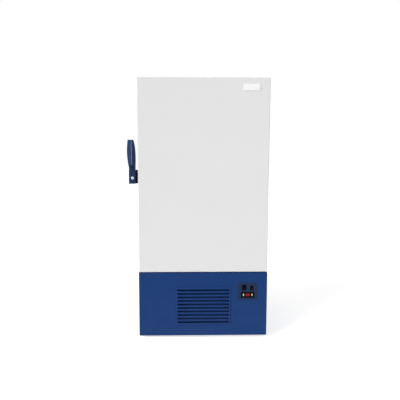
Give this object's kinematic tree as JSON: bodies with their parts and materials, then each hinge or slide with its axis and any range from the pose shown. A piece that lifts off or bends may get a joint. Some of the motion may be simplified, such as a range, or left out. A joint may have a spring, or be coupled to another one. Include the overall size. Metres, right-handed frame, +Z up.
{
  "type": "ultra low temperature freezer",
  "caption": "Upright ultra low temperature freezer: full-height insulated door with side latch lever, inner doors and shelves, over a blue machine base with louvre cover, on casters.",
  "frame": {"origin": "on the floor under the middle of the whole outline, latch lever, hinges and rear spacers included", "axes": "+Z up, -Y out of the front, +X to the right of someone facing the door"},
  "size_m": [1.0724, 0.921, 1.98],
  "materials": {
    "casing_paint": "satin",
    "door_paint": "satin",
    "base_blue": "satin",
    "louvre_blue": "satin",
    "foam": "matte",
    "liner_steel": "satin",
    "shelf_steel": "satin",
    "breaker_plastic": "satin",
    "inner_door_plastic": "satin",
    "gasket_rubber": "matte",
    "copper_tube": "satin",
    "hinge_paint": "satin",
    "latch_steel": "satin",
    "latch_navy": "satin",
    "latch_black": "matte",
    "lock_chrome": "polished",
    "chassis_steel": "matte",
    "machine_black": "satin",
    "filter_mesh": "matte",
    "fin_aluminium": "satin",
    "fan_plastic": "matte",
    "box_grey": "satin",
    "plate_navy": "satin",
    "switch_black": "gloss",
    "switch_red": "gloss",
    "lamp_lens": "gloss",
    "spacer_rubber": "matte",
    "caster_zinc": "satin",
    "wheel_rubber": "matte",
    "foot_steel": "satin"
  },
  "bodies": {
    "cabinet": {"outer_casing": "casing_paint", "back_panel": "casing_paint", "base_front_panel": "base_blue", "base_side_panels": "base_blue", "base_rear_cover": "base_blue", "insulation": "foam", "heat_exchanger": "foam", "inner_liner": "liner_steel", "shelf_1": "shelf_steel", "shelf_2": "shelf_steel", "shelf_3": "shelf_steel", "shelf_supports": "shelf_steel", "inner_door_lugs": "shelf_steel", "breaker_frame": "breaker_plastic", "evaporator_coil": "copper_tube", "refrigerant_lines": "copper_tube", "hinge_cabinet_leaves": "hinge_paint", "keeper": "latch_steel", "chassis_frame": "chassis_steel", "compressor_high_stage": "machine_black", "compressor_low_stage": "machine_black", "fan_motor": "machine_black", "air_filter": "filter_mesh", "condenser": "fin_aluminium", "fan_shroud": "fan_plastic", "electrical_box": "box_grey", "control_plate": "plate_navy", "switch_bezels": "switch_black", "power_inlet": "switch_black", "indicator_lamps": "lamp_lens", "rear_spacers": "spacer_rubber", "caster_plates": "caster_zinc"},
    "door": {"door_skin": "door_paint", "door_insulation": "foam", "door_liner": "breaker_plastic", "door_gasket": "gasket_rubber", "hinge_door_leaves": "hinge_paint", "latch_base": "latch_black", "latch_block": "latch_navy", "latch_pin": "latch_steel"},
    "latch": {"latch_lever": "latch_navy", "latch_claw": "latch_steel"},
    "lock": {"lock_cylinder": "lock_chrome"},
    "inner_upper": {"inner_door_upper": "inner_door_plastic"},
    "inner_lower": {"inner_door_lower": "inner_door_plastic"},
    "cover": {"louvre_cover": "louvre_blue"},
    "fan": {"fan_blades": "fan_plastic"},
    "battery_switch": {"battery_rocker": "switch_black"},
    "alarm_switch": {"alarm_rocker": "switch_black"},
    "power_switch": {"power_rocker": "switch_red"},
    "caster_front_left": {"caster_fork_front_left": "caster_zinc"},
    "wheel_front_left": {"caster_wheel_front_left": "wheel_rubber"},
    "caster_front_right": {"caster_fork_front_right": "caster_zinc"},
    "wheel_front_right": {"caster_wheel_front_right": "wheel_rubber"},
    "caster_rear_left": {"caster_fork_rear_left": "caster_zinc"},
    "wheel_rear_left": {"caster_wheel_rear_left": "wheel_rubber"},
    "caster_rear_right": {"caster_fork_rear_right": "caster_zinc"},
    "wheel_rear_right": {"caster_wheel_rear_right": "wheel_rubber"},
    "foot_left": {"levelling_foot_left": "foot_steel"},
    "foot_right": {"levelling_foot_right": "foot_steel"}
  },
  "joints": [
    {"name": "door_hinge", "type": "hinge", "parent": "cabinet", "child": "door", "pos_m": [0.52925, -0.3375, 1.252], "axis": [0, 0, 1], "range_deg": [0, 120]},
    {"name": "inner_upper_hinge", "type": "hinge", "parent": "cabinet", "child": "inner_upper", "pos_m": [0.37625, -0.2975, 1.2445], "axis": [0, 0, 1], "range_deg": [0, 90]},
    {"name": "inner_lower_hinge", "type": "hinge", "parent": "cabinet", "child": "inner_lower", "pos_m": [0.37625, -0.2975, 0.639], "axis": [0, 0, 1], "range_deg": [0, 90]},
    {"name": "latch_pivot", "type": "hinge", "parent": "door", "child": "latch", "pos_m": [-0.49875, -0.4245, 1.312], "axis": [1, 0, 0], "range_deg": [-14, 60]},
    {"name": "lock_turn", "type": "hinge", "parent": "door", "child": "lock", "pos_m": [-0.49625, -0.4575, 1.245], "axis": [0, 1, 0], "range_deg": [0, 90]},
    {"name": "cover_pull", "type": "slide", "parent": "cabinet", "child": "cover", "axis": [0, -1, 0], "range_m": [0, 0.06]},
    {"name": "fan_spin", "type": "hinge", "parent": "cabinet", "child": "fan", "pos_m": [0.03225, -0.3415, 0.261], "axis": [0, 1, 0], "continuous": true},
    {"name": "battery_tip", "type": "hinge", "parent": "cabinet", "child": "battery_switch", "pos_m": [0.34475, -0.4475, 0.402], "axis": [-1, 0, 0], "range_deg": [0, 16]},
    {"name": "alarm_tip", "type": "hinge", "parent": "cabinet", "child": "alarm_switch", "pos_m": [0.40375, -0.4475, 0.398], "axis": [-1, 0, 0], "range_deg": [0, 16]},
    {"name": "power_tip", "type": "hinge", "parent": "cabinet", "child": "power_switch", "pos_m": [0.37325, -0.4475, 0.344], "axis": [0, 0, -1], "range_deg": [0, 16]},
    {"name": "swivel_front_left", "type": "hinge", "parent": "cabinet", "child": "caster_front_left", "pos_m": [-0.36375, -0.2495, 0.1054], "axis": [0, 0, 1], "continuous": true},
    {"name": "roll_front_left", "type": "hinge", "parent": "caster_front_left", "child": "wheel_front_left", "pos_m": [-0.36375, -0.2245, 0.039], "axis": [1, 0, 0], "continuous": true},
    {"name": "swivel_front_right", "type": "hinge", "parent": "cabinet", "child": "caster_front_right", "pos_m": [0.42725, -0.2495, 0.1054], "axis": [0, 0, 1], "continuous": true},
    {"name": "roll_front_right", "type": "hinge", "parent": "caster_front_right", "child": "wheel_front_right", "pos_m": [0.42725, -0.2245, 0.039], "axis": [1, 0, 0], "continuous": true},
    {"name": "swivel_rear_left", "type": "hinge", "parent": "cabinet", "child": "caster_rear_left", "pos_m": [-0.36375, 0.3405, 0.1054], "axis": [0, 0, 1], "continuous": true},
    {"name": "roll_rear_left", "type": "hinge", "parent": "caster_rear_left", "child": "wheel_rear_left", "pos_m": [-0.36375, 0.3655, 0.0375], "axis": [1, 0, 0], "continuous": true},
    {"name": "swivel_rear_right", "type": "hinge", "parent": "cabinet", "child": "caster_rear_right", "pos_m": [0.42725, 0.3405, 0.1054], "axis": [0, 0, 1], "continuous": true},
    {"name": "roll_rear_right", "type": "hinge", "parent": "caster_rear_right", "child": "wheel_rear_right", "pos_m": [0.42725, 0.3655, 0.0375], "axis": [1, 0, 0], "continuous": true},
    {"name": "screw_left", "type": "slide", "parent": "cabinet", "child": "foot_left", "axis": [0, 0, 1], "range_m": [-0.012, 0]},
    {"name": "screw_right", "type": "slide", "parent": "cabinet", "child": "foot_right", "axis": [0, 0, 1], "range_m": [-0.012, 0]}
  ],
  "couplings": [
    {"joint": "inner_upper_hinge", "follows": "door_hinge", "ratio": 0.75},
    {"joint": "inner_lower_hinge", "follows": "door_hinge", "ratio": 0.75}
  ]
}
